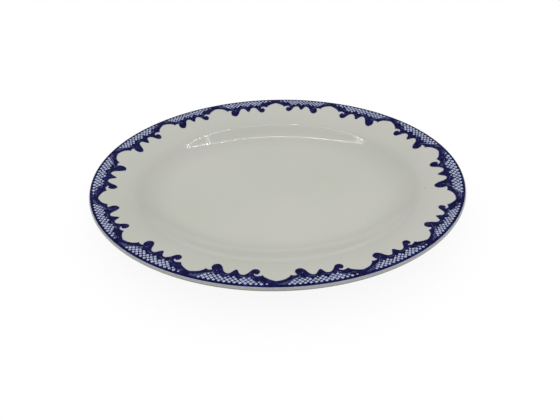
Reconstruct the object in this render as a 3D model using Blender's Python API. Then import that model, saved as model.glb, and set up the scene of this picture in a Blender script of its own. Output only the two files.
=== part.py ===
"""China serving platter: an oval fired clay body on a foot ring, its glaze coats, a banded
rim line and a printed blue border of fourteen scroll-and-leaf panels.

Metres, +Z up. X runs along the platter, Y across it, and z = 0 is the table it stands on.
The platter's shape is one profile carried round an oval. A place on it is given by its
share of the way round the rim line, counted from the near side through +X, and by its
inset, the level distance from the rim line in towards the well.
"""
import bisect
import math

import bmesh
import bpy

MM = 0.001

# Overall size, over the glaze.
LENGTH = 356.0 * MM
WIDTH = 284.5 * MM

# The face of the clay, from the rim line in to the flat floor of the well.
RIM_RUN = 35.0 * MM
RIM_FALL = 9.2 * MM
RIM_SLOPE = 0.15
SHOULDER_SLOPE = 0.45
WALL_RUN = 10.5 * MM
WALL_FALL = 6.4 * MM
WALL_SLOPE = 0.61
FILLET_RUN = 24.5 * MM
FILLET_FALL = 8.5 * MM

# Thickness of the clay, and its foot ring.
LIP_THICKNESS = 3.2 * MM
BODY_THICKNESS = 4.6 * MM
FLOOR_THICKNESS = 4.8 * MM
FOOT_INSET = 59.5 * MM
FOOT_DRAFT = 1.2 * MM
FOOT_FLAT = 2.2 * MM
FOOT_INNER_RUN = 2.4 * MM
FOOT_HEIGHT = 3.2 * MM
BARE_FOOT = 1.0 * MM
BASE_MARGIN = 6.0 * MM

# Layers on the clay, each a little clear of what it lies on.
CLEARANCE = 0.3 * MM
GLAZE = 0.4 * MM
PRINT = 0.25 * MM

# Decoration. The banded line's middle lies a little out from the oval, over the lip's edge.
LINE_WIDTH = 1.6 * MM
LINE_SHIFT = 0.55 * MM
LINE_TO_PANEL = 0.8 * MM
PANELS = 14
PANEL_GAP = 0.5 * MM
BORDER_DEPTH = 20.0 * MM
# How far each join between two panels stands from its even place, in whole millimetres:
# the print was laid on by hand, panel after panel.
JOIN_SHIFTS = (0, -1, -5, -11, 0, 1, 6, 2, 4, 0, -2, 2, 0, 0)
# How deep each panel reaches at its middle, as a share of the depth that it is drawn at, and
# the three panels that are mirror images of the rest.
PANEL_DEPTHS = (0.88, 0.84, 0.86, 1.15, 1.07, 1.07, 0.94, 1.02, 0.97, 1.07, 1.09, 0.97, 0.96, 0.94)
DEPTH_EASE = 0.28
MIRRORED_PANELS = (8, 9, 10)

# The panel is drawn on squared paper this many squares long and deep, and fitted to its
# place on the rim, where a square comes out at about a millimetre.
SQUARES_LONG = 72
SQUARES_DEEP = 20

# Fineness of the solids: columns round the oval, rings on the lip, the places of the rings
# on each stretch as parts of its run, and the bends that let a panel follow the rim.
COLUMNS = 72
LIP_STEPS = 3
RIM_STOPS = (0.0, 0.45, 0.85)
WALL_STOPS = (0.25, 0.6, 1.0)
FILLET_STOPS = (0.25, 0.55, 0.8, 1.0)
PANEL_BENDS = 6
PANEL_FOLDS = 2
SNAP = 0.02

COAT = CLEARANCE + GLAZE
LIP_REACH = LIP_THICKNESS / 2 * (1 + math.sin(math.atan(RIM_SLOPE))) + COAT
HALF_LENGTH = LENGTH / 2 - LIP_REACH
HALF_WIDTH = WIDTH / 2 - LIP_REACH

FLOOR_Z = FOOT_HEIGHT + FLOOR_THICKNESS
LINE_Z = FLOOR_Z + FILLET_FALL + WALL_FALL + RIM_FALL
FLOOR_INSET = RIM_RUN + WALL_RUN + FILLET_RUN

# Inset, height and slope where the stretches of the face meet.
FACE_KNOTS = (
    (0.0, LINE_Z, -RIM_SLOPE),
    (RIM_RUN, LINE_Z - RIM_FALL, -SHOULDER_SLOPE),
    (RIM_RUN + WALL_RUN, FLOOR_Z + FILLET_FALL, -WALL_SLOPE),
    (FLOOR_INSET, FLOOR_Z, 0.0),
)


# ---- the oval ----

def oval_angles(steps=2880):
    """Angle against distance along the rim line, both from the near side."""
    angles = [math.tau * i / steps for i in range(steps + 1)]
    travelled = [0.0]
    for a, b in zip(angles, angles[1:]):
        chord = math.hypot(HALF_LENGTH * (math.sin(b) - math.sin(a)),
                           HALF_WIDTH * (math.cos(b) - math.cos(a)))
        travelled.append(travelled[-1] + chord)
    return angles, travelled


ANGLES, TRAVELLED = oval_angles()
ROUND = TRAVELLED[-1]
PANEL_LENGTH = ROUND / PANELS


def on_oval(share, inset):
    """X and Y at a share of the way round, moved in from the rim line by the inset."""
    distance = (share % 1.0) * ROUND
    i = min(max(bisect.bisect_right(TRAVELLED, distance), 1), len(ANGLES) - 1)
    part = (distance - TRAVELLED[i - 1]) / (TRAVELLED[i] - TRAVELLED[i - 1])
    angle = ANGLES[i - 1] + part * (ANGLES[i] - ANGLES[i - 1])
    sine, cosine = math.sin(angle), math.cos(angle)
    out_x, out_y = HALF_WIDTH * sine, -HALF_LENGTH * cosine
    size = math.hypot(out_x, out_y)
    return (HALF_LENGTH * sine - inset * out_x / size,
            -HALF_WIDTH * cosine - inset * out_y / size)


# ---- the profile ----

def face_at(inset):
    """Height and slope of the clay's face at an inset: one smooth cubic to a stretch."""
    if inset >= FLOOR_INSET:
        return FLOOR_Z, 0.0
    if inset <= 0.0:
        return LINE_Z - RIM_SLOPE * inset, -RIM_SLOPE
    for (x0, z0, m0), (x1, z1, m1) in zip(FACE_KNOTS, FACE_KNOTS[1:]):
        if inset <= x1:
            break
    run = x1 - x0
    t = (inset - x0) / run
    height = ((2 * t**3 - 3 * t**2 + 1) * z0 + (t**3 - 2 * t**2 + t) * run * m0
              + (3 * t**2 - 2 * t**3) * z1 + (t**3 - t**2) * run * m1)
    slope = ((6 * t**2 - 6 * t) * (z0 - z1) / run + (3 * t**2 - 4 * t + 1) * m0
             + (3 * t**2 - 2 * t) * m1)
    return height, slope


def off_face(inset, lift):
    """A profile point on the line square to the face at the inset, lifted off the clay."""
    height, slope = face_at(inset)
    size = math.hypot(1.0, slope)
    return (inset - lift * slope / size, height + lift / size)


def ring_insets():
    """The insets that get a ring, from the rim line in to the floor's edge."""
    insets = [RIM_RUN * part for part in RIM_STOPS]
    insets += [RIM_RUN + WALL_RUN * part for part in WALL_STOPS]
    insets += [RIM_RUN + WALL_RUN + FILLET_RUN * part for part in FILLET_STOPS]
    return insets


def face_chain():
    """The clay's face, from the floor's edge out to the rim line."""
    return [off_face(inset, 0.0) for inset in reversed(ring_insets())]


def off_lip(turn, lift):
    """A profile point a turn round the half-round lip, from the rim line, lifted off the clay."""
    radius = LIP_THICKNESS / 2
    centre = off_face(0.0, -radius)
    angle = turn - math.atan(RIM_SLOPE)
    reach = radius + lift
    return (centre[0] - reach * math.sin(angle), centre[1] + reach * math.cos(angle))


def lip_chain():
    """The half-round lip, from the rim line over to the underside."""
    return [off_lip(math.pi * i / (LIP_STEPS + 1), 0.0) for i in range(1, LIP_STEPS + 1)]


def underside_chain():
    """The clay's underside, from the lip in to the top of the foot's outer side."""
    chain = []
    for inset in ring_insets():
        if inset < FOOT_INSET - FOOT_DRAFT:
            share = min(inset / RIM_RUN, 1.0)
            thickness = LIP_THICKNESS + (BODY_THICKNESS - LIP_THICKNESS) * share
            chain.append(off_face(inset, -thickness))
    return chain + [off_face(FOOT_INSET, -BODY_THICKNESS)]


def foot_side(height):
    """The foot's outer side at a height: it draws in towards the table."""
    top = off_face(FOOT_INSET, -BODY_THICKNESS)
    return (top[0] + FOOT_DRAFT * (1 - height / top[1]), height)


def foot_inner_side(height):
    """The foot's inner side at a height."""
    return (foot_side(0.0)[0] + FOOT_FLAT + FOOT_INNER_RUN * height / FOOT_HEIGHT, height)


def coated_chain():
    """All of the clay's profile that the outer glaze covers."""
    return face_chain() + lip_chain() + underside_chain() + [foot_side(BARE_FOOT)]


def base_chain():
    """The profile inside the foot ring that the base glaze covers."""
    recess = foot_inner_side(FOOT_HEIGHT)
    return [foot_inner_side(BARE_FOOT), recess, (recess[0] + BASE_MARGIN, FOOT_HEIGHT)]


def lifted(chain, lift):
    """The chain moved off the clay, square to its own run."""
    moved = []
    for i, (x, z) in enumerate(chain):
        before = chain[max(i - 1, 0)]
        after = chain[min(i + 1, len(chain) - 1)]
        arms = [(x - before[0], z - before[1]), (after[0] - x, after[1] - z)]
        normals = [(dz / math.hypot(dx, dz), -dx / math.hypot(dx, dz))
                   for dx, dz in arms if math.hypot(dx, dz) > 0]
        nx = sum(n[0] for n in normals)
        nz = sum(n[1] for n in normals)
        size = math.hypot(nx, nz)
        nx, nz = nx / size, nz / size
        mitre = nx * normals[0][0] + nz * normals[0][1]
        moved.append((x + lift * nx / mitre, z + lift * nz / mitre))
    return moved


# ---- meshes ----

def material(name, colour, roughness, metallic=0.0):
    """A plain surface of one colour."""
    made = bpy.data.materials.new(name)
    made.use_nodes = True
    shader = made.node_tree.nodes["Principled BSDF"]
    shader.inputs["Base Color"].default_value = (*colour, 1.0)
    shader.inputs["Roughness"].default_value = roughness
    shader.inputs["Metallic"].default_value = metallic
    return made


def finish(name, bm, surface):
    """Turn the bmesh into a named object with flat triangles and smooth shading."""
    bmesh.ops.recalc_face_normals(bm, faces=bm.faces)
    bmesh.ops.triangulate(bm, faces=bm.faces)
    mesh = bpy.data.meshes.new(name)
    bm.to_mesh(mesh)
    bm.free()
    for polygon in mesh.polygons:
        polygon.use_smooth = True
    mesh.set_sharp_from_angle(angle=math.radians(35))
    mesh.materials.append(surface)
    made = bpy.data.objects.new(name, mesh)
    bpy.context.collection.objects.link(made)
    return made


def ring(bm, point):
    """One turn of vertices round the oval at a profile point."""
    inset, height = point
    return [bm.verts.new((*on_oval(i / COLUMNS, inset), height)) for i in range(COLUMNS)]


def join_rings(bm, rings, close=False):
    """Faces between neighbouring rings, and from the last to the first if closed."""
    pairs = list(zip(rings, rings[1:]))
    if close:
        pairs.append((rings[-1], rings[0]))
    for one, other in pairs:
        for i in range(COLUMNS):
            j = (i + 1) % COLUMNS
            bm.faces.new((one[i], one[j], other[j], other[i]))


def add_clay_body(surface):
    """The one fired piece: well, wall, rim, lip and foot ring."""
    foot = [foot_side(0.0), foot_inner_side(0.0)]
    bm = bmesh.new()
    rings = [ring(bm, point) for point in coated_chain() + foot + base_chain()]
    join_rings(bm, rings)
    bm.faces.new(rings[0])
    bm.faces.new(rings[-1])
    return finish("clay_body", bm, surface)


def add_coat(name, chain, surface):
    """A glaze coat over a chain of the profile, with a flat sheet across its middle."""
    inner = lifted(chain, CLEARANCE)
    outer = lifted(chain, COAT)
    if chain[0][0] < chain[-1][0]:
        inner.reverse()
        outer.reverse()
    bm = bmesh.new()
    rings = [ring(bm, point) for point in outer + inner[::-1]]
    join_rings(bm, rings)
    bm.faces.new(rings[0])
    bm.faces.new(rings[-1])
    return finish(name, bm, surface)


def add_rim_line(surface):
    """The blue line banded round the edge, from just inside the oval out over the lip."""
    low, high = COAT + CLEARANCE, COAT + CLEARANCE + PRINT
    inner = LINE_WIDTH / 2 - LINE_SHIFT
    turn = (LINE_WIDTH - inner) / (LIP_THICKNESS / 2 + COAT)
    corners = [off_lip(turn, low), off_face(0.0, low), off_face(inner, low),
               off_face(inner, high), off_face(0.0, high), off_lip(turn, high)]
    bm = bmesh.new()
    join_rings(bm, [ring(bm, corner) for corner in corners], close=True)
    return finish("rim_line", bm, surface)


# ---- the border ----

def arc(centre, radius, start, stop, steps):
    """Points along a round stretch; angles in degrees, 0 along the rim, 90 into the well."""
    angles = [math.radians(start + (stop - start) * i / steps) for i in range(steps + 1)]
    return [(centre[0] + radius * math.cos(a), centre[1] + radius * math.sin(a)) for a in angles]


def half_motif(side_leaf, hook, scroll, curl, crown, middle):
    """The well side of half a panel on its squares, from the join to the middle leaf's tip.

    The side leaf is its tip, the hook is the hollow behind the scroll, the scroll is the
    centre of its round end, which starts at the angle curl, and the crown is the arch's centre.
    """
    root = [(0.0, 4.5), (3.9, 5.6), (7.4, 7.0), (9.7, 9.3)]
    scroll_end = arc(scroll, 4.1, curl, 10, 6)
    arch = arc(crown, 4.6, 205, 335, 5)
    return root + [side_leaf] + hook + scroll_end + arch + [middle]


def panel_outline():
    """The whole panel on its squares: two unlike halves and the edge by the line."""
    left = half_motif(side_leaf=(12.0, 12.5), hook=[(14.6, 12.0), (17.4, 12.8)],
                      scroll=(20.3, 17.2), curl=225, crown=(31.4, 16.0), middle=(37.5, 17.6))
    right = half_motif(side_leaf=(10.8, 12.2), hook=[(13.8, 11.3), (17.0, 12.0)],
                       scroll=(17.5, 16.2), curl=240, crown=(27.7, 16.0), middle=(34.5, 17.6))
    mirrored = [(SQUARES_LONG - x, y) for x, y in reversed(right[:-1])]
    return left + mirrored + [(SQUARES_LONG, 0.0), (0.0, 0.0)]


def depth_share(number, along):
    """How deep a panel is at a share of its length: it eases into its neighbours' depths."""
    middle = PANEL_DEPTHS[number]
    neighbour = PANEL_DEPTHS[(number + (1 if along > 0.5 else -1)) % PANELS]
    from_join = min(along, 1.0 - along) / DEPTH_EASE
    ease = (1 - math.cos(math.pi * min(from_join, 1.0))) / 2
    return middle * ease + (middle + neighbour) / 2 * (1 - ease)


def join_share(number):
    """Where a join lies, as a share of the way round."""
    return (number + JOIN_SHIFTS[number] * MM / PANEL_LENGTH) / PANELS


def add_panel(number, surface):
    """One printed section of the border, lying on the glazed rim between two joins."""
    start = join_share(number)
    stop = join_share(number + 1) if number + 1 < PANELS else 1.0 + join_share(0)
    trim = PANEL_GAP / 2 / ROUND
    first_inset = LINE_WIDTH / 2 - LINE_SHIFT + LINE_TO_PANEL
    bm = bmesh.new()
    outline = [bm.verts.new((x, y, 0.0)) for x, y in panel_outline()]
    if number + 1 in MIRRORED_PANELS:
        for vert in outline:
            vert.co.x = SQUARES_LONG - vert.co.x
    bm.faces.new(outline)
    cuts = [((SQUARES_LONG * i / PANEL_BENDS, 0, 0), (1, 0, 0)) for i in range(1, PANEL_BENDS)]
    cuts += [((0, SQUARES_DEEP * i / PANEL_FOLDS, 0), (0, 1, 0)) for i in range(1, PANEL_FOLDS)]
    for place, normal in cuts:
        everything = bm.verts[:] + bm.edges[:] + bm.faces[:]
        bmesh.ops.bisect_plane(bm, geom=everything, plane_co=place, plane_no=normal, dist=SNAP)
    raised = bmesh.ops.extrude_face_region(bm, geom=bm.faces[:])
    top = {v for v in raised["geom"] if isinstance(v, bmesh.types.BMVert)}
    for vert in bm.verts:
        along, deep = vert.co.x / SQUARES_LONG, vert.co.y / SQUARES_DEEP
        share = start + trim + (stop - start - 2 * trim) * along
        inset = first_inset + (BORDER_DEPTH - first_inset) * deep * depth_share(number, along)
        lift = COAT + CLEARANCE + (PRINT if vert in top else 0.0)
        moved_inset, height = off_face(inset, lift)
        vert.co = (*on_oval(share, moved_inset), height)
    return finish(f"border_panel_{number + 1:02d}", bm, surface)


def main():
    for old in list(bpy.data.objects):
        bpy.data.objects.remove(old, do_unlink=True)
    bare_clay = material("bare_clay", (0.68, 0.62, 0.52), 0.8)
    white_glaze = material("white_glaze", (0.54, 0.54, 0.50), 0.12)
    cobalt = material("cobalt_blue", (0.012, 0.012, 0.10), 0.15)
    add_clay_body(bare_clay)
    add_coat("outer_glaze", coated_chain(), white_glaze)
    add_coat("base_glaze", base_chain(), white_glaze)
    add_rim_line(cobalt)
    for number in range(PANELS):
        add_panel(number, cobalt)


main()
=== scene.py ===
# %% [markdown]
# # A china serving platter
#
# This lesson dresses the plain model of an oval serving platter: fired clay under an
# off-white glaze, with a cobalt line round the edge and a printed border of scrolls, leaves
# and trellis. The plain model comes first, as a frame of fixed parts. Everything made below
# lies in the same place and at the same size, in metres, with z = 0 on the table.

# %% Load the plain model
import math

import bpy
from mathutils import Matrix, Vector


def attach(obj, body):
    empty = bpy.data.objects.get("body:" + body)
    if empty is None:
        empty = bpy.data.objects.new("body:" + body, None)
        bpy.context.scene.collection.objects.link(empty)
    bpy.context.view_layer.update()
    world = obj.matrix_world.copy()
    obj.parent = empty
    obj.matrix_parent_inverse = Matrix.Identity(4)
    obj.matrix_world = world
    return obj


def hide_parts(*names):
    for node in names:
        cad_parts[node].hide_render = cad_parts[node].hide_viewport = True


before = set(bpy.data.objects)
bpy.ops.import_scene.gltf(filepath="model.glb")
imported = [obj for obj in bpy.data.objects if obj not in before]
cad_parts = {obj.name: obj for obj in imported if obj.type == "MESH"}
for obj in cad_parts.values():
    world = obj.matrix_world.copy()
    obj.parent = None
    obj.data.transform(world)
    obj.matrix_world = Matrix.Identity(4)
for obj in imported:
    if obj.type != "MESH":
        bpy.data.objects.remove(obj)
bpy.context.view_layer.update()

MM = 0.001

# %% [markdown]
# ## Sizes
#
# A platter like this is pressed over a mould, so one profile runs all the way round it. A
# potter would describe it by a few measures: how long and wide it is, how far the rim, the
# wall and the rounded foot of the wall run in, and how far each of them falls. The plain
# model uses the same measures, so the fine surfaces made here land on the plain ones.

# %% Sizes of the platter
LENGTH = 356.0 * MM
WIDTH = 284.5 * MM

RIM_RUN = 35.0 * MM
RIM_FALL = 9.2 * MM
RIM_SLOPE = 0.15
SHOULDER_SLOPE = 0.45
WALL_RUN = 10.5 * MM
WALL_FALL = 6.4 * MM
WALL_SLOPE = 0.61
FILLET_RUN = 24.5 * MM
FILLET_FALL = 8.5 * MM

LIP_THICKNESS = 3.2 * MM
BODY_THICKNESS = 4.6 * MM
FLOOR_THICKNESS = 4.8 * MM
FOOT_INSET = 59.5 * MM
FOOT_DRAFT = 1.2 * MM
FOOT_FLAT = 2.2 * MM
FOOT_INNER_RUN = 2.4 * MM
FOOT_HEIGHT = 3.2 * MM
BARE_FOOT = 1.0 * MM
BASE_MARGIN = 6.0 * MM

CLEARANCE = 0.3 * MM
GLAZE = 0.4 * MM
COAT = CLEARANCE + GLAZE

LIP_RADIUS = LIP_THICKNESS / 2
LIP_LEAN = math.atan(RIM_SLOPE)
LIP_REACH = LIP_RADIUS * (1 + math.sin(LIP_LEAN)) + COAT
HALF_LENGTH = LENGTH / 2 - LIP_REACH
HALF_WIDTH = WIDTH / 2 - LIP_REACH
FLOOR_Z = FOOT_HEIGHT + FLOOR_THICKNESS
LINE_Z = FLOOR_Z + FILLET_FALL + WALL_FALL + RIM_FALL
FLOOR_INSET = RIM_RUN + WALL_RUN + FILLET_RUN
print("rim line oval, mm:", round(2 * HALF_LENGTH / MM, 1), "by", round(2 * HALF_WIDTH / MM, 1))

# %% [markdown]
# ## The rim line's path
#
# The oval is an ellipse. A Bezier circle, stretched to the two half axes, follows it closely.
# It is kept as a guide: the profile is swept along it, and later the flat drawn border is
# bent along it. Its handles are set to Aligned first, because automatic ones would be worked
# out afresh and bulge. Stretching also scales the radius stored on each knot, which would
# shrink what is swept, so the radius is set back to 1. The circle is turned a quarter and its
# direction is switched, so that a distance along it runs from the near side to the right.

# %% Small helpers for selecting
def only(*pieces):
    """Select these objects and nothing else, the first one active."""
    bpy.ops.object.select_all(action="DESELECT")
    for piece in pieces:
        piece.select_set(True)
    bpy.context.view_layer.objects.active = pieces[0]


def pick_open_ring(piece, height):
    """In edit mode, select the open edges that lie at this height, and nothing else."""
    only(piece)
    bpy.ops.object.mode_set(mode="EDIT")
    bpy.ops.mesh.select_mode(type="EDGE")
    bpy.ops.mesh.select_all(action="DESELECT")
    bpy.ops.mesh.select_non_manifold(extend=False, use_wire=False, use_boundary=True,
                                     use_multi_face=False, use_non_contiguous=False,
                                     use_verts=False)
    bpy.ops.object.mode_set(mode="OBJECT")
    mesh = piece.data
    for edge in mesh.edges:
        level = all(abs(mesh.vertices[v].co.z - height) < 0.02 * MM for v in edge.vertices)
        edge.select = edge.select and level
    bpy.ops.object.mode_set(mode="EDIT")


# %% The path
bpy.ops.curve.primitive_bezier_circle_add(radius=1.0, rotation=(0, 0, math.pi / 2))
rim_path = bpy.context.object
rim_path.name = "rim_path"
bpy.ops.object.transform_apply(location=False, rotation=True, scale=False)
bpy.ops.object.mode_set(mode="EDIT")
bpy.ops.curve.select_all(action="SELECT")
bpy.ops.curve.handle_type_set(type="ALIGNED")
bpy.ops.transform.resize(value=(HALF_LENGTH, HALF_WIDTH, 1.0))
bpy.ops.curve.radius_set(radius=1.0)
bpy.ops.curve.switch_direction()
bpy.ops.object.mode_set(mode="OBJECT")
rim_path.data.resolution_u = 72
ROUND = rim_path.data.splines[0].calc_length()
print("round the rim line, mm:", round(ROUND / MM, 1))

# %% [markdown]
# ## The profile
#
# The profile is drawn as a Bezier curve with a knot wherever the surface changes its way: at
# the floor's edge, at the foot of the wall, at the shoulder, at the rim line, round the lip
# and back along the underside. Between two knots the handles are a third of the run long and
# point along the slope, which gives one smooth cubic to a stretch and no creases.

# %% The face of the clay, and a point lifted off it
FACE_KNOTS = (
    (0.0, LINE_Z, RIM_SLOPE),
    (RIM_RUN, LINE_Z - RIM_FALL, SHOULDER_SLOPE),
    (RIM_RUN + WALL_RUN, FLOOR_Z + FILLET_FALL, WALL_SLOPE),
    (FLOOR_INSET, FLOOR_Z, 0.0),
)


def face_at(inset):
    """Height of the clay's face at an inset, and how steeply it falls there."""
    if inset >= FLOOR_INSET:
        return FLOOR_Z, 0.0
    if inset <= 0.0:
        return LINE_Z + RIM_SLOPE * -inset, RIM_SLOPE
    for (x0, z0, m0), (x1, z1, m1) in zip(FACE_KNOTS, FACE_KNOTS[1:]):
        if inset <= x1:
            break
    run = x1 - x0
    t = (inset - x0) / run
    height = ((2 * t**3 - 3 * t**2 + 1) * z0 - (t**3 - 2 * t**2 + t) * run * m0
              + (3 * t**2 - 2 * t**3) * z1 - (t**3 - t**2) * run * m1)
    fall = ((6 * t - 6 * t**2) * (z0 - z1) / run + (3 * t**2 - 4 * t + 1) * m0
            + (3 * t**2 - 2 * t) * m1)
    return height, fall


def off_face(inset, lift):
    """The profile point square to the face at an inset, lifted off the clay."""
    height, fall = face_at(inset)
    size = math.hypot(1.0, fall)
    return Vector((inset + lift * fall / size, height + lift / size))


print("height at the shoulder, mm:", round(face_at(RIM_RUN)[0] / MM, 2))

# %% Knots for the face, the lip and the underside
ARC_HANDLE = 0.5523          # a quarter circle's handles, as a share of its radius


def knot(point, way, before, after):
    """A knot, the way the profile runs through it, and the length of its two handles."""
    return Vector(point), Vector(way).normalized(), before, after


def face_knots(lift):
    """Knots from the floor's edge out to the rim line, lifted off the clay."""
    places = [off_face(inset, lift) for inset, _, _ in reversed(FACE_KNOTS)]
    ways = [Vector((-1.0, fall)) for _, _, fall in reversed(FACE_KNOTS)]
    knots = []
    for i, (place, way) in enumerate(zip(places, ways)):
        stretch = way.length / 3
        before = stretch * (places[i - 1].x - place.x) if i else 0.0
        after = stretch * (place.x - places[i + 1].x) if i + 1 < len(places) else 0.0
        knots.append(knot(place, way, before, after))
    return knots


def off_lip(turn, lift):
    """The profile point a turn round the half-round lip, from the rim line, lifted off the clay."""
    angle = turn - LIP_LEAN
    centre = off_face(0.0, -LIP_RADIUS)
    return centre + (LIP_RADIUS + lift) * Vector((-math.sin(angle), math.cos(angle)))


def lip_knots(lift):
    """Knots over the half-round lip, from its crown to the underside."""
    handle = ARC_HANDLE * (LIP_RADIUS + lift)
    knots = []
    for quarter in (1, 2):
        turn = quarter * math.pi / 2
        way = Vector((-math.cos(turn - LIP_LEAN), -math.sin(turn - LIP_LEAN)))
        after = handle if quarter == 1 else RIM_RUN / 3
        knots.append(knot(off_lip(turn, lift), way, handle, after))
    return knots


def underside_knots(lift):
    """Knots along the underside, from the lip in to the foot's outer side."""
    insets = (RIM_RUN, RIM_RUN + WALL_RUN, FOOT_INSET - 4.0 * MM)
    places = [off_face(inset, -BODY_THICKNESS - lift) for inset in insets]
    knots = []
    for i, (inset, place) in enumerate(zip(insets, places)):
        way = Vector((1.0, -face_at(inset)[1]))
        before = way.length / 3 * (place.x - (places[i - 1].x if i else 0.0))
        after = way.length / 3 * (places[i + 1].x - place.x) if i < 2 else 1.2 * MM
        knots.append(knot(place, way, before, after))
    return knots


def foot_side(height, lift=0.0):
    """The foot's outer side at a height: it draws in towards the table."""
    top = off_face(FOOT_INSET, -BODY_THICKNESS)
    return Vector((top.x + FOOT_DRAFT * (1 - height / top.y) - lift, height))


def foot_inner_side(height, lift=0.0):
    """The foot's inner side at a height."""
    start = foot_side(0.0).x + FOOT_FLAT
    return Vector((start + FOOT_INNER_RUN * height / FOOT_HEIGHT + lift, height))


# %% Draw a profile and sweep it round the path
def draw_profile(name, knots, closed=False):
    """A Bezier curve through the knots, with X as the inset and Y as the height."""
    bpy.ops.curve.primitive_bezier_curve_add(radius=1.0)
    profile = bpy.context.object
    profile.name = name
    profile.data.dimensions = "2D"
    profile.data.resolution_u = 8
    spline = profile.data.splines[0]
    spline.bezier_points.add(len(knots) - len(spline.bezier_points))
    spline.use_cyclic_u = closed
    for point, (place, way, before, after) in zip(spline.bezier_points, knots):
        point.handle_left_type = point.handle_right_type = "FREE"
        # The path runs so that a profile's X points outwards, so the inset is turned round.
        point.co = (-place.x, place.y, 0.0)
        point.handle_left = (-place.x + way.x * before, place.y - way.y * before, 0.0)
        point.handle_right = (-place.x - way.x * after, place.y + way.y * after, 0.0)
        point.radius = 1.0
    return profile


def sweep(name, knots, closed=False):
    """Carry a profile round the rim line's path, and turn the result into a mesh."""
    profile = draw_profile(name + "_profile", knots, closed)
    only(rim_path)
    bpy.ops.object.duplicate()
    swept = bpy.context.object
    swept.name = name
    swept.data.bevel_mode = "OBJECT"
    swept.data.bevel_object = profile
    bpy.ops.object.convert(target="MESH")
    swept = bpy.context.object
    swept.name = name
    bpy.data.objects.remove(profile, do_unlink=True)
    return swept


def close_ring(piece, height):
    """Fill the open ring at this height with a flat face, then draw rings in it."""
    pick_open_ring(piece, height)
    bpy.ops.mesh.edge_face_add()
    for share in (0.85, 0.8, 0.7, 0.5):
        bpy.ops.mesh.inset(thickness=0.05 * MM)
        bpy.ops.transform.resize(value=(share, share, 1.0), center_override=(0, 0, 0))
    bpy.ops.object.mode_set(mode="OBJECT")


def tidy_mesh(piece, smooth_angle=40):
    """Merge doubles, turn the faces outwards and shade smooth."""
    only(piece)
    bpy.ops.object.mode_set(mode="EDIT")
    bpy.ops.mesh.select_all(action="SELECT")
    bpy.ops.mesh.remove_doubles(threshold=0.002 * MM)
    bpy.ops.mesh.normals_make_consistent(inside=False)
    bpy.ops.object.mode_set(mode="OBJECT")
    bpy.ops.object.shade_smooth_by_angle(angle=math.radians(smooth_angle))
    print(piece.name, "faces:", len(piece.data.polygons),
          "size, mm:", [round(side / MM, 2) for side in piece.dimensions])


# %% [markdown]
# ## The clay
#
# The clay shows only on the flat of the foot ring, where the glaze was wiped off so that the
# platter wouldn't stick to the kiln shelf. It is still modelled whole, as one closed form.

# %% The clay body
def foot_knots():
    """Knots down the foot, across its flat, up its inner side and in under the base."""
    flat_edge = 0.35 * MM
    outer, inner = foot_side(0.0), foot_inner_side(0.0)
    recess = foot_inner_side(FOOT_HEIGHT)
    side_way = foot_side(0.0) - foot_side(FOOT_HEIGHT)
    inner_way = foot_inner_side(FOOT_HEIGHT) - foot_inner_side(0.0)
    fillet = 0.9 * MM
    bend = flat_edge * ARC_HANDLE
    return [
        knot(foot_side(2 * BARE_FOOT), side_way, 1.2 * MM, 0.3 * MM),
        knot(foot_side(flat_edge), side_way, 0.3 * MM, bend),
        knot(outer + Vector((flat_edge, 0.0)), (1, 0), bend, 0.3 * MM),
        knot(inner - Vector((flat_edge, 0.0)), (1, 0), 0.3 * MM, bend),
        knot(foot_inner_side(flat_edge), inner_way, bend, 0.3 * MM),
        knot(foot_inner_side(FOOT_HEIGHT - fillet), inner_way, 0.3 * MM, fillet * ARC_HANDLE),
        knot(recess + Vector((fillet, 0.0)), (1, 0), fillet * ARC_HANDLE, 1.0 * MM),
        knot(recess + Vector((BASE_MARGIN, 0.0)), (1, 0), 1.0 * MM, 0.0),
    ]


clay = sweep("fired_clay", face_knots(0.0) + lip_knots(0.0) + underside_knots(0.0) + foot_knots())
close_ring(clay, FLOOR_Z)
close_ring(clay, FOOT_HEIGHT)
tidy_mesh(clay)

# %% [markdown]
# ## The glaze
#
# The glaze is a glassy coat about half a millimetre thick. It follows the clay over the face
# and the lip and down the outside, and stops in a rounded edge at the wiped foot. Its outer
# face is swept first and Solidify gives it its thickness inwards, which keeps the outer face
# exactly where it is.

# %% The coat over the face, the lip and the outside
def thicken(piece, thickness, outward=False):
    """Give a sheet its thickness, away from its face or on its face's side."""
    only(piece)
    wall = piece.modifiers.new("thickness", "SOLIDIFY")
    wall.thickness = thickness
    wall.offset = 1.0 if outward else -1.0
    wall.use_even_offset = True
    bpy.ops.object.modifier_apply(modifier=wall.name)


foot_way = foot_side(0.0) - foot_side(FOOT_HEIGHT)
glaze_end = [
    knot(foot_side(2.4 * BARE_FOOT, COAT), foot_way, 1.2 * MM, 0.4 * MM),
    knot(foot_side(BARE_FOOT, COAT), foot_way, 0.4 * MM, 0.0),
]
glaze = sweep("glaze_coat", face_knots(COAT) + lip_knots(COAT) + underside_knots(COAT) + glaze_end)
close_ring(glaze, FLOOR_Z + COAT)
tidy_mesh(glaze)
thicken(glaze, GLAZE)
tidy_mesh(glaze)

# %% The coat inside the foot ring
inner_way = foot_inner_side(FOOT_HEIGHT) - foot_inner_side(0.0)
base_height = FOOT_HEIGHT - COAT
base_fillet = 0.8 * MM
base_knots = [
    knot(foot_inner_side(BARE_FOOT, COAT), inner_way, 0.0, 0.2 * MM),
    knot(foot_inner_side(base_height - base_fillet, COAT), inner_way, 0.1 * MM,
         base_fillet * ARC_HANDLE),
    knot(foot_inner_side(base_height, COAT) + Vector((base_fillet, 0.0)), (1, 0),
         base_fillet * ARC_HANDLE, 1.0 * MM),
    knot(foot_inner_side(base_height, COAT) + Vector((BASE_MARGIN, 0.0)), (1, 0), 1.0 * MM, 0.0),
]
base_glaze = sweep("base_glaze_coat", base_knots)
close_ring(base_glaze, base_height)
tidy_mesh(base_glaze)
thicken(base_glaze, GLAZE)
tidy_mesh(base_glaze)

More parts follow.
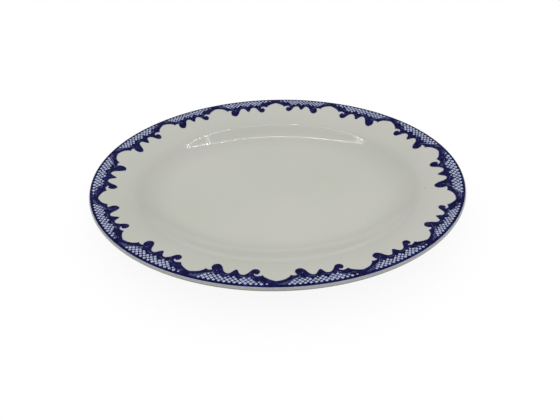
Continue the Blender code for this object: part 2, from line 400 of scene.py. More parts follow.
# %% [markdown]
# ## The rim line
#
# The line is banded by hand: the platter turns on a wheel while a loaded brush rests on the
# edge, so the line runs a little over the lip. It lies in the glaze, so it is only a few
# hundredths of a millimetre proud.

# %% The rim line
LINE_WIDTH = 1.6 * MM
LINE_SHIFT = 0.55 * MM       # how far its middle lies out from the oval
INK = 0.04 * MM              # how far each layer of colour stands on what it lies on


def corner(place):
    """A knot without handles, which leaves straight lines on both sides."""
    return knot(place, (1, 0), 0.0, 0.0)


line_inner = LINE_WIDTH / 2 - LINE_SHIFT
line_turn = (LINE_WIDTH - line_inner) / (LIP_RADIUS + COAT)
line_corners = [off_face(line_inner, COAT - INK), off_face(line_inner, COAT + INK)]
line_corners += [off_lip(line_turn * i / 4, COAT + INK) for i in range(5)]
line_corners += [off_lip(line_turn * i / 4, COAT - INK) for i in (4, 3, 2, 1, 0)]
rim_line = sweep("rim_band", [corner(place) for place in line_corners], closed=True)
tidy_mesh(rim_line)

# %% The faint run of cobalt below the line
RUN_WIDTH = 0.8 * MM
run_turn = line_turn + RUN_WIDTH / (LIP_RADIUS + COAT)
run_corners = [off_lip(run_turn * i / 6, COAT + INK / 2) for i in range(7)]
run_corners += [off_lip(run_turn * i / 6, COAT - INK) for i in range(6, -1, -1)]
rim_run = sweep("rim_run", [corner(place) for place in run_corners], closed=True)
tidy_mesh(rim_run)

# %% [markdown]
# ## The printed border
#
# Fourteen sections of a transfer print go round the rim. They are alike, so one section is
# drawn flat on squared paper, 72 squares long, with the rim line along the top. The border
# is 20 squares deep, and the longest curl reaches two squares past that.
# A filled Bezier outline is the natural way to trace such a shape: smooth knots for the
# scrolls, sharp ones for the tips of the leaves.
#
# Each section has three layers. A faint halo lies lowest, where the cobalt has run a little
# into the glaze. The blue print lies on it. Over that lie the light marks that the engraver
# left open: the lozenges of the trellis, hairlines along the scrolls and streaks.

# %% The outline of one section
SQUARES_LONG = 72
SQUARES_DEEP = 20
SMOOTH, SHARP = "AUTO", "VECTOR"
NOOK = (54.0, 13.9, SHARP)   # where the curl of the right scroll meets its stem

LEFT_SCROLL = [
    (0.0, 4.9, SHARP), (3.6, 5.8, SMOOTH), (7.0, 7.2, SMOOTH), (9.6, 9.0, SMOOTH),
    (11.2, 10.9, SMOOTH), (12.1, 12.7, SHARP),
    (13.9, 12.1, SMOOTH), (16.0, 12.1, SMOOTH), (17.9, 12.9, SHARP),
    (16.6, 14.7, SMOOTH), (16.1, 17.1, SMOOTH), (16.6, 19.6, SMOOTH), (18.2, 21.2, SMOOTH),
    (20.2, 22.0, SMOOTH), (22.3, 21.6, SMOOTH), (24.3, 19.7, SMOOTH), (25.6, 17.8, SMOOTH),
]
ARCHES = [
    (27.0, 14.9, SMOOTH), (28.8, 12.4, SMOOTH), (31.3, 11.2, SMOOTH), (33.2, 11.8, SMOOTH),
    (34.7, 13.6, SMOOTH), (36.1, 16.0, SMOOTH),
    (37.8, 17.7, SHARP),
    (39.3, 16.4, SMOOTH), (40.4, 14.3, SMOOTH), (41.9, 12.1, SMOOTH), (44.0, 11.3, SMOOTH),
    (46.3, 11.9, SMOOTH),
]
RIGHT_SCROLL = [
    (48.4, 14.0, SMOOTH), (50.2, 16.9, SMOOTH), (51.8, 19.1, SMOOTH), (53.8, 20.2, SMOOTH),
    (55.6, 20.1, SMOOTH), (57.2, 19.1, SMOOTH), (58.2, 17.3, SMOOTH), (58.1, 15.2, SMOOTH),
    (57.2, 13.6, SMOOTH), (55.8, 12.8, SMOOTH), (54.7, 13.1, SMOOTH), NOOK,
    (53.6, 12.4, SMOOTH), (54.5, 11.4, SMOOTH), (56.4, 10.6, SMOOTH), (58.3, 11.0, SMOOTH),
    (61.1, 12.1, SHARP),
    (62.6, 10.0, SMOOTH), (64.4, 8.6, SMOOTH), (67.2, 6.9, SMOOTH), (69.6, 5.8, SMOOTH),
    (72.0, 4.9, SHARP),
]
TOP_EDGE = [(72.0, -1.0, SHARP), (0.0, -1.0, SHARP)]
SECTION_OUTLINE = LEFT_SCROLL + ARCHES + RIGHT_SCROLL + TOP_EDGE


def draw_filled(name, outline, spread=0.0):
    """A flat filled shape, in squares, from knots of x, y and kind, spread by so much."""
    bpy.ops.curve.primitive_bezier_circle_add(radius=1.0)
    shape = bpy.context.object
    shape.name = name
    shape.data.dimensions = "2D"
    shape.data.fill_mode = "BOTH"
    shape.data.resolution_u = 6
    shape.data.offset = spread
    spline = shape.data.splines[0]
    spline.bezier_points.add(len(outline) - len(spline.bezier_points))
    for point, (x, y, kind) in zip(spline.bezier_points, outline):
        point.handle_left_type = point.handle_right_type = kind
        point.co = (x, y, 0.0)
        point.radius = 1.0
    bpy.ops.object.convert(target="MESH")
    shape = bpy.context.object
    shape.name = name
    bpy.ops.object.mode_set(mode="EDIT")
    bpy.ops.mesh.select_all(action="SELECT")
    bpy.ops.mesh.dissolve_limited(angle_limit=math.radians(0.5), use_dissolve_boundaries=False)
    bpy.ops.object.mode_set(mode="OBJECT")
    return shape


def cut_to_bend(shape, long_cuts, deep_cuts):
    """Cut the flat shape into small faces, so that it can follow the rim."""
    only(shape)
    bpy.ops.object.mode_set(mode="EDIT")
    for i in range(1, long_cuts):
        bpy.ops.mesh.select_all(action="SELECT")
        bpy.ops.mesh.bisect(plane_co=(SQUARES_LONG * i / long_cuts, 0, 0), plane_no=(1, 0, 0))
    for i in range(1, deep_cuts):
        bpy.ops.mesh.select_all(action="SELECT")
        bpy.ops.mesh.bisect(plane_co=(0, SQUARES_DEEP * i / deep_cuts, 0), plane_no=(0, 1, 0))
    bpy.ops.object.mode_set(mode="OBJECT")


# %% The flat print and its halo
HALO = 0.4                   # squares that the cobalt has run beyond the print
LONG_CUTS, DEEP_CUTS = 36, 10
# The cobalt runs together in the nook, so the halo's outline leaves it out.
HALO_OUTLINE = [place for place in SECTION_OUTLINE if place is not NOOK]

flat_print = draw_filled("flat_print", SECTION_OUTLINE)
cut_to_bend(flat_print, LONG_CUTS, DEEP_CUTS)
flat_halo = draw_filled("flat_halo", HALO_OUTLINE, HALO)
cut_to_bend(flat_halo, LONG_CUTS, DEEP_CUTS)
for flat in (flat_print, flat_halo):
    print(flat.name, "faces:", len(flat.data.polygons), "squares:", list(flat.dimensions)[:2])

# %% [markdown]
# ## The light marks
#
# The trellis is a net of lozenges in rows, every second row moved along by half a lozenge.
# One lozenge with softened corners is made and copied to each place in the field. Towards the
# joins and along the scrolls the engraver closed the net, so the lozenges there get smaller.
# The hairlines and streaks are flat ribbons: a Bezier line with a straight cross-section,
# whose knots carry a radius, so that each stroke swells and tapers like a graver's cut.

# %% Where the trellis field ends, and how open it is at a place
FIELD_EDGE = [(7.0, 0.0), (9.0, 1.2), (12.0, 3.2), (14.0, 5.8), (17.0, 7.0), (20.7, 7.0),
              (22.8, 8.7), (25.4, 7.4), (28.7, 6.3), (33.8, 6.8), (37.5, 8.5), (39.7, 6.6),
              (44.0, 6.3), (48.6, 8.7), (51.6, 6.6), (55.8, 4.5), (59.2, 2.8), (64.0, 1.6),
              (66.0, 0.0)]
CELL_STEP = (2.1, 2.05)      # half a lozenge's place along the rim and across it, in squares
CELL_OPEN = 0.77             # the open part of a lozenge's place
FIRST_ROW = 0.95             # how deep the first row's middle lies, in squares
TRELLIS_DEEP = 12            # squares, deeper than the field reaches anywhere
LEAST_OPEN = 0.3             # where the field is less open than this, a lozenge is left out


def field_edge(x):
    """How deep the trellis field is at a place along the section."""
    if x <= FIELD_EDGE[0][0] or x >= FIELD_EDGE[-1][0]:
        return 0.0
    for (x0, y0), (x1, y1) in zip(FIELD_EDGE, FIELD_EDGE[1:]):
        if x <= x1:
            return y0 + (y1 - y0) * (x - x0) / (x1 - x0)


def openness(x, y):
    """Nought outside the field, rising to one well inside it."""
    return max(0.0, min(1.0, (field_edge(x) + 0.9 - y) / 1.6))


def add_lozenge():
    """One lozenge with its corners softened, about as long as it is deep."""
    bpy.ops.mesh.primitive_circle_add(vertices=4, radius=1.0, fill_type="NGON")
    lozenge = bpy.context.object
    lozenge.name = "lozenge"
    bpy.ops.object.mode_set(mode="EDIT")
    bpy.ops.transform.resize(value=(CELL_STEP[0] * CELL_OPEN, CELL_STEP[1] * CELL_OPEN, 1.0))
    bpy.ops.mesh.bevel(offset=0.32, segments=2, affect="VERTICES")
    bpy.ops.object.mode_set(mode="OBJECT")
    return lozenge


def copy_mesh(piece, name):
    """A copy of a piece with a mesh of its own."""
    only(piece)
    bpy.ops.object.duplicate()
    made = bpy.context.object
    made.name = name
    return made


def place_flat(piece, scale, turn, place):
    """Scale, turn and move a flat piece in edit mode, so that its object stays at the origin."""
    only(piece)
    bpy.ops.object.mode_set(mode="EDIT")
    bpy.ops.mesh.select_all(action="SELECT")
    bpy.ops.transform.resize(value=scale, center_override=(0, 0, 0))
    if turn:
        bpy.ops.transform.rotate(value=turn, orient_axis="Z", center_override=(0, 0, 0))
    bpy.ops.transform.translate(value=place)
    bpy.ops.object.mode_set(mode="OBJECT")


# %% The trellis
import random

random.seed(14)
lozenge = add_lozenge()
cells = []
rows = int(TRELLIS_DEEP / CELL_STEP[1])
columns = int(SQUARES_LONG / CELL_STEP[0])
for row in range(rows):
    y = FIRST_ROW + row * CELL_STEP[1]
    for column in range(row % 2, columns, 2):
        x = (column + 1) * CELL_STEP[0]
        open_here = openness(x, y)
        if open_here > LEAST_OPEN:
            size = (0.35 + 0.65 * open_here) * random.uniform(0.9, 1.06)
            cell = copy_mesh(lozenge, "cell")
            nudge = (x + random.uniform(-0.12, 0.12), y + random.uniform(-0.1, 0.1), 0.0)
            place_flat(cell, (size, size, 1.0), random.uniform(-0.06, 0.06), nudge)
            cells.append(cell)
bpy.data.objects.remove(lozenge, do_unlink=True)
only(*cells)
bpy.ops.object.join()
trellis = bpy.context.object
trellis.name = "flat_trellis"
print("lozenges in a section:", len(cells))

# %% The hairlines and streaks
bpy.ops.curve.primitive_bezier_curve_add(radius=1.0)
nib = bpy.context.object
nib.name = "nib"
nib.data.resolution_u = 2
for point, side in zip(nib.data.splines[0].bezier_points, (-0.5, 0.5)):
    point.handle_left_type = point.handle_right_type = "VECTOR"
    point.co = (side, 0.0, 0.0)


def draw_stroke(name, knots):
    """A flat ribbon through knots of x, y and width."""
    bpy.ops.curve.primitive_bezier_curve_add(radius=1.0)
    stroke = bpy.context.object
    stroke.data.twist_mode = "Z_UP"
    stroke.data.resolution_u = 6
    stroke.data.bevel_mode = "OBJECT"
    stroke.data.bevel_object = nib
    spline = stroke.data.splines[0]
    spline.bezier_points.add(len(knots) - len(spline.bezier_points))
    for point, (x, y, width) in zip(spline.bezier_points, knots):
        point.handle_left_type = point.handle_right_type = "AUTO"
        point.co = (x, y, 0.0)
        point.radius = width
    bpy.ops.object.convert(target="MESH")
    stroke = bpy.context.object
    stroke.name = name
    return stroke


HAIRLINES = [
    [(6.0, 1.0, 0.1), (12.8, 5.0, 0.32), (18.0, 7.6, 0.38), (21.2, 11.0, 0.42), (22.4, 16.0, 0.14)],
    [(9.0, 4.0, 0.1), (14.0, 6.8, 0.24), (18.2, 9.2, 0.28), (20.0, 13.0, 0.12)],
    [(64.6, 1.3, 0.1), (58.0, 4.0, 0.32), (53.5, 6.2, 0.38), (51.0, 9.4, 0.42), (50.2, 14.4, 0.14)],
    [(62.6, 4.0, 0.1), (57.0, 6.4, 0.24), (53.4, 8.6, 0.28), (52.2, 11.4, 0.12)],
    [(1.8, 0.5, 0.06), (6.0, 0.9, 0.26), (10.0, 1.2, 0.1)],
    [(2.6, 1.7, 0.06), (6.6, 2.3, 0.26), (10.4, 3.4, 0.1)],
    [(4.2, 3.2, 0.06), (8.0, 4.2, 0.22), (11.6, 6.0, 0.08)],
    [(70.2, 0.5, 0.06), (66.4, 0.8, 0.26), (63.0, 1.0, 0.1)],
    [(69.4, 1.7, 0.06), (65.8, 2.4, 0.26), (62.4, 3.6, 0.1)],
    [(68.0, 3.2, 0.06), (64.6, 4.3, 0.22), (61.4, 6.2, 0.08)],
]
STREAKS = [
    [(26.0, 10.4, 0.1), (30.6, 8.8, 0.9), (34.6, 10.2, 0.1)],
    [(40.0, 10.2, 0.1), (44.2, 8.8, 0.9), (48.2, 11.2, 0.1)],
]
hairlines = [draw_stroke("hairline", knots) for knots in HAIRLINES]
streaks = [draw_stroke("streak", knots) for knots in STREAKS]
bpy.data.objects.remove(nib, do_unlink=True)
print("hairlines:", len(hairlines), "streaks:", len(streaks))

# %% [markdown]
# ## How white each mark is
#
# The lozenges are nearly white, the hairlines a little less so and the streaks are only a
# lighter blue. One number on each mark, its tone, says so, and a single material reads it.

# %% Tone each mark and join them
CELL_TONE, HAIRLINE_TONE, STREAK_TONE = 1.0, 0.62, 0.04


def tone(piece, value):
    """Store a tone on every vertex of a piece."""
    layer = piece.data.attributes.new("tone", "FLOAT", "POINT")
    layer.data.foreach_set("value", [value] * len(piece.data.vertices))


tone(trellis, CELL_TONE)
for mark in hairlines:
    tone(mark, HAIRLINE_TONE)
for mark in streaks:
    tone(mark, STREAK_TONE)
only(trellis, *hairlines, *streaks)
bpy.ops.object.join()
flat_marks = bpy.context.object
flat_marks.name = "flat_marks"
tidy_mesh(flat_marks)

# %% [markdown]
# ## Laying the sections on the rim
#
# Each flat section is stretched to the gap between two joins. A Curve modifier bends it round
# the path, and Shrinkwrap drops it straight down onto the glaze. Solidify then gives it the
# thickness of a layer of colour. The joins aren't quite evenly spaced and some sections reach
# further in than others, as transfers laid on by hand may do. How uneven they are was fitted
# together with the camera, so it is no measurement. Three sections on the far side are mirror
# images of the rest.

# %% Where the joins are
PANELS = 14
BORDER_DEPTH = 20.0 * MM
LINE_TO_PRINT = 0.8 * MM
FIRST_INSET = LINE_WIDTH / 2 - LINE_SHIFT + LINE_TO_PRINT
PANEL_LENGTH = ROUND / PANELS
# How far each join stands from its even place, in whole millimetres.
JOIN_SHIFTS = (0, -1, -5, -11, 0, 1, 6, 2, 4, 0, -2, 2, 0, 0)
# How deep each section reaches at its middle, as a share of the depth that it is drawn at.
PANEL_DEPTHS = (0.88, 0.84, 0.86, 1.15, 1.07, 1.07, 0.94, 1.02, 0.97, 1.07, 1.09, 0.97, 0.96, 0.94)
DEPTH_EASE = 0.28            # the share of a section, at each end, that eases to its neighbour's
MIRRORED_PANELS = (8, 9, 10)
START_ABOVE = 20 * MM        # how high over the rim line a section is bent before it drops


def join_place(number):
    """How far along the path a join lies."""
    turns, number = divmod(number, PANELS)
    return turns * ROUND + number * PANEL_LENGTH + JOIN_SHIFTS[number] * MM


def depth_share(number, along):
    """How deep a section is at a share of its length: it eases into its neighbours' depths."""
    middle = PANEL_DEPTHS[number]
    neighbour = PANEL_DEPTHS[(number + (1 if along > 0.5 else -1)) % PANELS]
    from_join = max(0.0, min(along, 1.0 - along)) / DEPTH_EASE
    ease = (1 - math.cos(math.pi * min(from_join, 1.0))) / 2
    return middle * ease + (middle + neighbour) / 2 * (1 - ease)


def mirror_section(piece):
    """Turn a flat section into its mirror image, and its faces up again."""
    only(piece)
    bpy.ops.object.mode_set(mode="EDIT")
    bpy.ops.mesh.select_all(action="SELECT")
    bpy.ops.transform.resize(value=(-1, 1, 1), center_override=(SQUARES_LONG / 2, 0, 0))
    bpy.ops.mesh.flip_normals()
    bpy.ops.object.mode_set(mode="OBJECT")


def lay_on_rim(flat, name, number, layer):
    """A copy of a flat section, bent round the rim and laid on the glaze as one layer."""
    start = join_place(number)
    length = join_place(number + 1) - start
    square_deep = (BORDER_DEPTH - FIRST_INSET) / SQUARES_DEEP
    piece = copy_mesh(flat, name)
    if number + 1 in MIRRORED_PANELS:
        mirror_section(piece)
    for vert in piece.data.vertices:
        vert.co.y *= depth_share(number, vert.co.x / SQUARES_LONG)
    place_flat(piece, (length / SQUARES_LONG, square_deep, 1.0), 0.0,
               (start, FIRST_INSET, LINE_Z + START_ABOVE))
    bend = piece.modifiers.new("bend", "CURVE")
    bend.object = rim_path
    bend.deform_axis = "POS_X"
    drop = piece.modifiers.new("drop", "SHRINKWRAP")
    drop.target = glaze
    drop.wrap_method = "PROJECT"
    drop.use_project_z = True
    drop.use_positive_direction = False
    drop.use_negative_direction = True
    drop.offset = layer * INK
    for step in ("bend", "drop"):
        bpy.ops.object.modifier_apply(modifier=step)
    thicken(piece, INK, outward=True)
    return piece


# %% Lay the fourteen sections
halos, prints, marks = [], [], []
for number in range(PANELS):
    tag = f"_{number + 1:02d}"
    halos.append(lay_on_rim(flat_halo, "cobalt_halo" + tag, number, 0.5))
    prints.append(lay_on_rim(flat_print, "scroll_print" + tag, number, 1.0))
    marks.append(lay_on_rim(flat_marks, "trellis_marks" + tag, number, 2.0))
for flat in (flat_halo, flat_print, flat_marks):
    bpy.data.objects.remove(flat, do_unlink=True)
print("sections laid:", len(prints))

# %% [markdown]
# ## The glaze finish
#
# Under its gloss the glaze is a warm off-white with hardly any pattern: a broad drift of tone
# from the way the coat pooled, and two small brown iron specks from the clay. Its surface is
# as smooth as glass but not flat. A slow ripple, a few millimetres across, is what makes the
# mirrored lamps waver.

# %% Helpers for node materials
def srgb(red, green, blue):
    """A colour written as it shows on a screen, 0 to 255, as linear light."""
    channels = [value / 255 for value in (red, green, blue)]
    return tuple(c / 12.92 if c <= 0.04045 else ((c + 0.055) / 1.055) ** 2.4 for c in channels) + (1.0,)


RIPPLE = 0.02 * MM
RIPPLE_WAVES = 75            # to a metre


class Finish:
    """A material with a Principled BSDF, and short ways to add nodes to it."""

    def __init__(self, name, colour, roughness, ior=1.5):
        self.material = bpy.data.materials.new(name)
        self.material.use_nodes = True
        self.tree = self.material.node_tree
        self.shader = self.tree.nodes["Principled BSDF"]
        self.shader.inputs["Base Color"].default_value = colour
        self.shader.inputs["Roughness"].default_value = roughness
        self.shader.inputs["IOR"].default_value = ior
        self.place = self.node("ShaderNodeTexCoord").outputs["Object"]

    def node(self, kind, **settings):
        made = self.tree.nodes.new(kind)
        for name, value in settings.items():
            setattr(made, name, value)
        return made

    def link(self, source, target):
        self.tree.links.new(source, target)

    def noise(self, scale, detail=2.0, rough=0.5):
        """Noise of so many waves to a metre."""
        made = self.node("ShaderNodeTexNoise")
        made.inputs["Scale"].default_value = scale
        made.inputs["Detail"].default_value = detail
        made.inputs["Roughness"].default_value = rough
        self.link(self.place, made.inputs["Vector"])
        return made.outputs["Fac"]

    def ramp(self, source, *stops):
        """Turn a number into a colour or a grey by stops of place and colour."""
        made = self.node("ShaderNodeValToRGB")
        while len(made.color_ramp.elements) < len(stops):
            made.color_ramp.elements.new(0.5)
        for element, (place, colour) in zip(made.color_ramp.elements, stops):
            element.position = place
            element.color = colour if isinstance(colour, tuple) else (colour, colour, colour, 1.0)
        self.link(source, made.inputs["Fac"])
        return made.outputs["Color"]

    def mix(self, share, one, other):
        """Mix two colours by a share, each a socket or a plain colour."""
        made = self.node("ShaderNodeMix", data_type="RGBA")
        for index, value in ((0, share), (6, one), (7, other)):
            if isinstance(value, (tuple, float)):
                made.inputs[index].default_value = value
            else:
                self.link(value, made.inputs[index])
        return made.outputs[2]

    def math(self, operation, one, other):
        made = self.node("ShaderNodeMath", operation=operation)
        for index, value in enumerate((one, other)):
            if isinstance(value, (int, float)):
                made.inputs[index].default_value = value
            else:
                self.link(value, made.inputs[index])
        return made.outputs[0]

    def colour(self, source):
        self.link(source, self.shader.inputs["Base Color"])

    def roughness(self, source):
        self.link(source, self.shader.inputs["Roughness"])

    def bump(self, source, depth):
        """Raise the surface by the source, times the depth in metres."""
        made = self.node("ShaderNodeBump")
        made.inputs["Strength"].default_value = 1.0
        made.inputs["Distance"].default_value = depth
        self.link(source, made.inputs["Height"])
        self.link(made.outputs[0], self.shader.inputs["Normal"])

    def ripple(self):
        """The slow ripple of the glaze, which all that lies in it shares."""
        self.bump(self.noise(RIPPLE_WAVES, 1.5), RIPPLE)


# %% The off-white glaze
GLAZE_LIGHT = srgb(190, 190, 183)
GLAZE_DEEP = srgb(186, 187, 177)
SPECK = srgb(96, 84, 62)
# Where each speck lies, and how wide it is.
SPECKS = ((140.4 * MM, -17.3 * MM, 24.5 * MM, 0.9 * MM), (83.8 * MM, -41.7 * MM, 8.7 * MM, 0.6 * MM))


def glaze_finish(name):
    """The glossy off-white glaze with its drift of tone, specks and ripple."""
    finish = Finish(name, GLAZE_LIGHT, 0.05)
    drift = finish.ramp(finish.noise(9, 3), (0.35, GLAZE_DEEP), (0.65, GLAZE_LIGHT))
    for x, y, z, width in SPECKS:
        away = finish.node("ShaderNodeVectorMath", operation="DISTANCE")
        away.inputs[1].default_value = (x, y, z)
        finish.link(finish.place, away.inputs[0])
        speck = finish.math("LESS_THAN", away.outputs["Value"], width / 2)
        drift = finish.mix(speck, drift, SPECK)
    finish.colour(drift)
    gloss = finish.ramp(finish.noise(160, 2), (0.3, 0.05), (0.7, 0.065))
    finish.roughness(gloss)
    finish.ripple()
    return finish.material


white_glaze = glaze_finish("white_glaze_finish")

# %% [markdown]
# ## The cobalt
#
# Cobalt under a glaze is a deep navy where the print is full, nearly black at the tips, and a
# brighter violet blue where it is thin. The ink was wiped along the engraving, so its density
# varies in short streaks.

# %% The cobalt, its halo and the light marks
COBALT_DEEP = srgb(5, 4, 32)
COBALT = srgb(14, 13, 62)
COBALT_THIN = srgb(44, 45, 108)
HALO_TINT = srgb(168, 173, 198)
OPEN_WHITE = srgb(188, 197, 220)
OPEN_LILAC = srgb(160, 170, 208)


def cobalt_finish():
    """Streaky navy under the same gloss as the glaze."""
    finish = Finish("cobalt_finish", COBALT, 0.07)
    body = finish.noise(260, 4, 0.6)
    tone = finish.ramp(body, (0.30, COBALT_DEEP), (0.5, COBALT), (0.78, COBALT_THIN))
    finish.colour(tone)
    finish.roughness(finish.ramp(finish.noise(160, 2), (0.3, 0.05), (0.7, 0.1)))
    finish.ripple()
    return finish.material


def halo_finish():
    """The faint lavender that cobalt leaves where it runs into the glaze."""
    finish = Finish("halo_finish", HALO_TINT, 0.06)
    finish.colour(finish.ramp(finish.noise(300, 2), (0.3, GLAZE_LIGHT), (0.55, HALO_TINT)))
    finish.ripple()
    return finish.material


def marks_finish():
    """The parts that the engraver left open: nearly white, or a thin violet blue."""
    finish = Finish("open_marks_finish", OPEN_WHITE, 0.06)
    layer = finish.node("ShaderNodeAttribute", attribute_name="tone")
    white = finish.ramp(finish.noise(340, 2), (0.35, OPEN_LILAC), (0.6, OPEN_WHITE))
    finish.colour(finish.mix(layer.outputs["Fac"], COBALT_THIN, white))
    finish.ripple()
    return finish.material


cobalt = cobalt_finish()
halo = halo_finish()
open_marks = marks_finish()

# %% [markdown]
# ## The bare foot
#
# Where the glaze is wiped off, the fired clay is matt, a little sandy and slightly darker
# from handling and kiln wash.

# %% The bare clay
def clay_finish():
    """Matt fired clay with a fine grain and a few darker grains."""
    finish = Finish("bare_clay_finish", srgb(205, 192, 170), 0.85)
    grain = finish.noise(1500, 4, 0.7)
    finish.colour(finish.ramp(grain, (0.3, srgb(176, 160, 134)), (0.55, srgb(208, 196, 174))))
    finish.bump(grain, 0.06 * MM)
    return finish.material


bare_clay = clay_finish()

# %% Give each piece its finish, and hide the plain solids that it stands for
def stands_for(piece, finish, slot_name, *nodes):
    """Give a piece its finish, and let it replace and ride with its plain solids."""
    piece.data.materials.clear()
    piece.data.materials.append(finish)
    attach(piece, "root")
    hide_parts(*nodes)


stands_for(clay, bare_clay, "bare_clay", "clay_body")
stands_for(glaze, white_glaze, "white_glaze", "outer_glaze")
stands_for(base_glaze, white_glaze, "white_glaze", "base_glaze")
stands_for(rim_line, cobalt, "cobalt_blue", "rim_line")
stands_for(rim_run, halo, "cobalt_blue", "rim_line")
for number in range(PANELS):
    node = f"border_panel_{number + 1:02d}"
    stands_for(halos[number], halo, "cobalt_blue", node)
    stands_for(prints[number], cobalt, "cobalt_blue", node)
    stands_for(marks[number], open_marks, "cobalt_blue", node)
bpy.data.objects.remove(rim_path, do_unlink=True)

# %% [markdown]
# ## The floor, the light and the camera
#
# The platter stands on a plain pale table in a tent of soft light that comes mostly from
# above, so its colours come out about as they are written. A row of small bulbs right above
# the platter, with a short side row and one wider lamp at its far end, is what shows as a
# dotted loop on the far wall of the well. The table is seen as white and keeps a faint shadow.

# %% Which rays see the backdrop
def seen_share(tree):
    """One for rays from the camera, from a mirror or through glass, and nought for light."""
    rays = tree.nodes.new("ShaderNodeLightPath")
    share = rays.outputs["Is Camera Ray"]
    for kind in ("Is Glossy Ray", "Is Transmission Ray"):
        larger = tree.nodes.new("ShaderNodeMath")
        larger.operation = "MAXIMUM"
        tree.links.new(share, larger.inputs[0])
        tree.links.new(rays.outputs[kind], larger.inputs[1])
        share = larger.outputs[0]
    return share


# %% The table
bpy.ops.mesh.primitive_plane_add(size=8.0)
table = bpy.context.object
table.name = "table"


def table_finish():
    """Plain white for what sees it directly or in a mirror, and a soft grey for light."""
    made = bpy.data.materials.new("table_finish")
    made.use_nodes = True
    nodes, links = made.node_tree.nodes, made.node_tree.links
    nodes.clear()
    out = nodes.new("ShaderNodeOutputMaterial")
    bounce = nodes.new("ShaderNodeBsdfDiffuse")
    bounce.inputs["Color"].default_value = (0.05, 0.05, 0.05, 1.0)
    shaded = nodes.new("ShaderNodeBsdfDiffuse")
    shaded.inputs["Color"].default_value = (0.95, 0.95, 0.95, 1.0)
    white = nodes.new("ShaderNodeEmission")
    white.inputs["Strength"].default_value = 1.0
    seen_white = nodes.new("ShaderNodeMixShader")
    seen_white.inputs[0].default_value = 0.9
    links.new(shaded.outputs[0], seen_white.inputs[1])
    links.new(white.outputs[0], seen_white.inputs[2])
    mix = nodes.new("ShaderNodeMixShader")
    links.new(seen_share(made.node_tree), mix.inputs[0])
    links.new(bounce.outputs[0], mix.inputs[1])
    links.new(seen_white.outputs[0], mix.inputs[2])
    links.new(mix.outputs[0], out.inputs[0])
    return made


table.data.materials.append(table_finish())

# %% The tent of light
AMBIENT = 1.24               # how bright the tent is for the light that it gives
LOW, HIGH = 0.06, 0.58       # it gives no light from below the one height, all above the other
DIM = 0.10                   # how bright its roof is where the glaze mirrors it
DIM_ABOVE = 0.16             # the height from which it mirrors as dim as that

world = bpy.data.worlds.new("light_tent")
world.use_nodes = True
bpy.context.scene.world = world
tree = world.node_tree
tent = tree.nodes["Background"]
tent.inputs["Strength"].default_value = AMBIENT
direction = tree.nodes.new("ShaderNodeTexCoord")
height = tree.nodes.new("ShaderNodeSeparateXYZ")
tree.links.new(direction.outputs["Generated"], height.inputs[0])
fade = tree.nodes.new("ShaderNodeValToRGB")
fade.color_ramp.interpolation = "EASE"
fade.color_ramp.elements[0].position = 0.0
fade.color_ramp.elements[0].color = (1.0, 1.0, 1.0, 1.0)
fade.color_ramp.elements[1].position = DIM_ABOVE
fade.color_ramp.elements[1].color = (DIM, DIM, DIM, 1.0)
tree.links.new(height.outputs["Z"], fade.inputs["Fac"])
low_light = tree.nodes.new("ShaderNodeValToRGB")
low_light.color_ramp.elements[0].position = LOW
low_light.color_ramp.elements[1].position = HIGH
tree.links.new(height.outputs["Z"], low_light.inputs["Fac"])
tree.links.new(low_light.outputs["Color"], tent.inputs["Color"])
rays = tree.nodes.new("ShaderNodeLightPath")
backdrop_colour = tree.nodes.new("ShaderNodeMix")
backdrop_colour.data_type = "RGBA"
tree.links.new(rays.outputs["Is Camera Ray"], backdrop_colour.inputs[0])
tree.links.new(fade.outputs["Color"], backdrop_colour.inputs[6])
backdrop_colour.inputs[7].default_value = (1.0, 1.0, 1.0, 1.0)
backdrop = tree.nodes.new("ShaderNodeBackground")
tree.links.new(backdrop_colour.outputs[2], backdrop.inputs["Color"])
both = tree.nodes.new("ShaderNodeMixShader")
tree.links.new(seen_share(tree), both.inputs[0])
tree.links.new(tent.outputs[0], both.inputs[1])
tree.links.new(backdrop.outputs[0], both.inputs[2])
tree.links.new(both.outputs[0], tree.nodes["World Output"].inputs["Surface"])


# %% The lamps
def add_lamp(name, place, target, size, watts):
    """A square soft lamp at a place, turned to a target."""
    bpy.ops.object.light_add(type="AREA", location=place)
    lamp = bpy.context.object
    lamp.name = name
    lamp.data.size = size
    lamp.data.energy = watts
    lamp.rotation_euler = (Vector(target) - Vector(place)).to_track_quat("-Z", "Y").to_euler()
    lamp.visible_camera = False


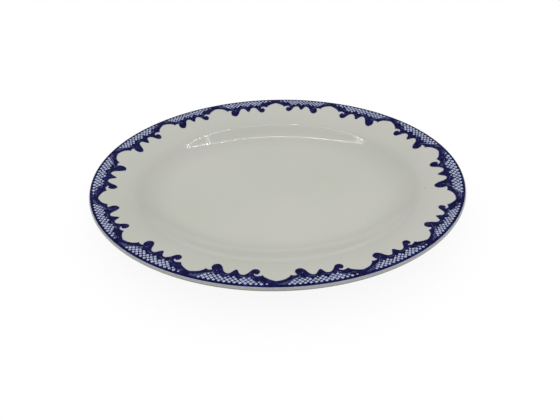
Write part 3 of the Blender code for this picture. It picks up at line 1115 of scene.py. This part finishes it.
BULB = 4.0 * MM
BULB_STEP = 9.0 * MM
BULB_WATTS = 0.0022
ROW_HEIGHT = 0.55
ROW_Y = 100.0 * MM
ROW = [(number * BULB_STEP, ROW_Y, BULB_WATTS) for number in range(-14, 23)]
SIDE_START = 62.0 * MM       # where the side row leaves the long one
SIDE_STEP = (5.2 * MM, 7.9 * MM)
SIDE_ROW = [(SIDE_START + SIDE_STEP[0] * number, ROW_Y - SIDE_STEP[1] * number, BULB_WATTS / 3)
            for number in range(1, 7)]
END_X, END_Y = -130.0 * MM, 88.0 * MM
END_SIZE, END_WATTS = 24 * MM, 0.006

for number, (x, y, watts) in enumerate(ROW + SIDE_ROW):
    add_lamp(f"bulb_{number:02d}", (x, y, ROW_HEIGHT), (x, y, 0.0), BULB, watts)
add_lamp("row_end", (END_X, END_Y, ROW_HEIGHT), (END_X, END_Y, 0.0), END_SIZE, END_WATTS)

# %% The camera
# The lens is 30 mm on a 36 mm sensor, looking 42 degrees down. The photograph doesn't settle
# the lens: a somewhat longer one, from further off, fits it about as well. The platter is
# turned a little on the table and the camera is tilted a little, as in the photograph.
LENS = 29.6
PITCH = math.radians(42.15)
TURN = math.radians(-0.84)
TILT = math.radians(-1.28)
RIM_CENTRE = Vector((0.0, 0.0, LINE_Z + COAT))
SEEN_AT = Vector((-3.0, 37.3, -445.5)) * MM      # the rim's centre, in the camera's axes

sin_p, cos_p = math.sin(PITCH), math.cos(PITCH)
right, up = Vector((1, 0, 0)), Vector((0, sin_p, cos_p))
back = Vector((0, -cos_p, sin_p))
tilted_right = math.cos(TILT) * right + math.sin(TILT) * up
tilted_up = -math.sin(TILT) * right + math.cos(TILT) * up
axes = Matrix((tilted_right, tilted_up, back)) @ Matrix.Rotation(TURN, 3, "Z")
bpy.ops.object.camera_add(location=RIM_CENTRE - axes.transposed() @ SEEN_AT)
camera = bpy.context.object
camera.rotation_euler = axes.transposed().to_euler()
camera.data.lens = LENS
camera.data.sensor_width = 36.0
camera.data.clip_start = 0.01
bpy.context.scene.camera = camera
bpy.context.scene.view_settings.view_transform = "Standard"
print("camera at, mm:", [round(c / MM) for c in camera.location])
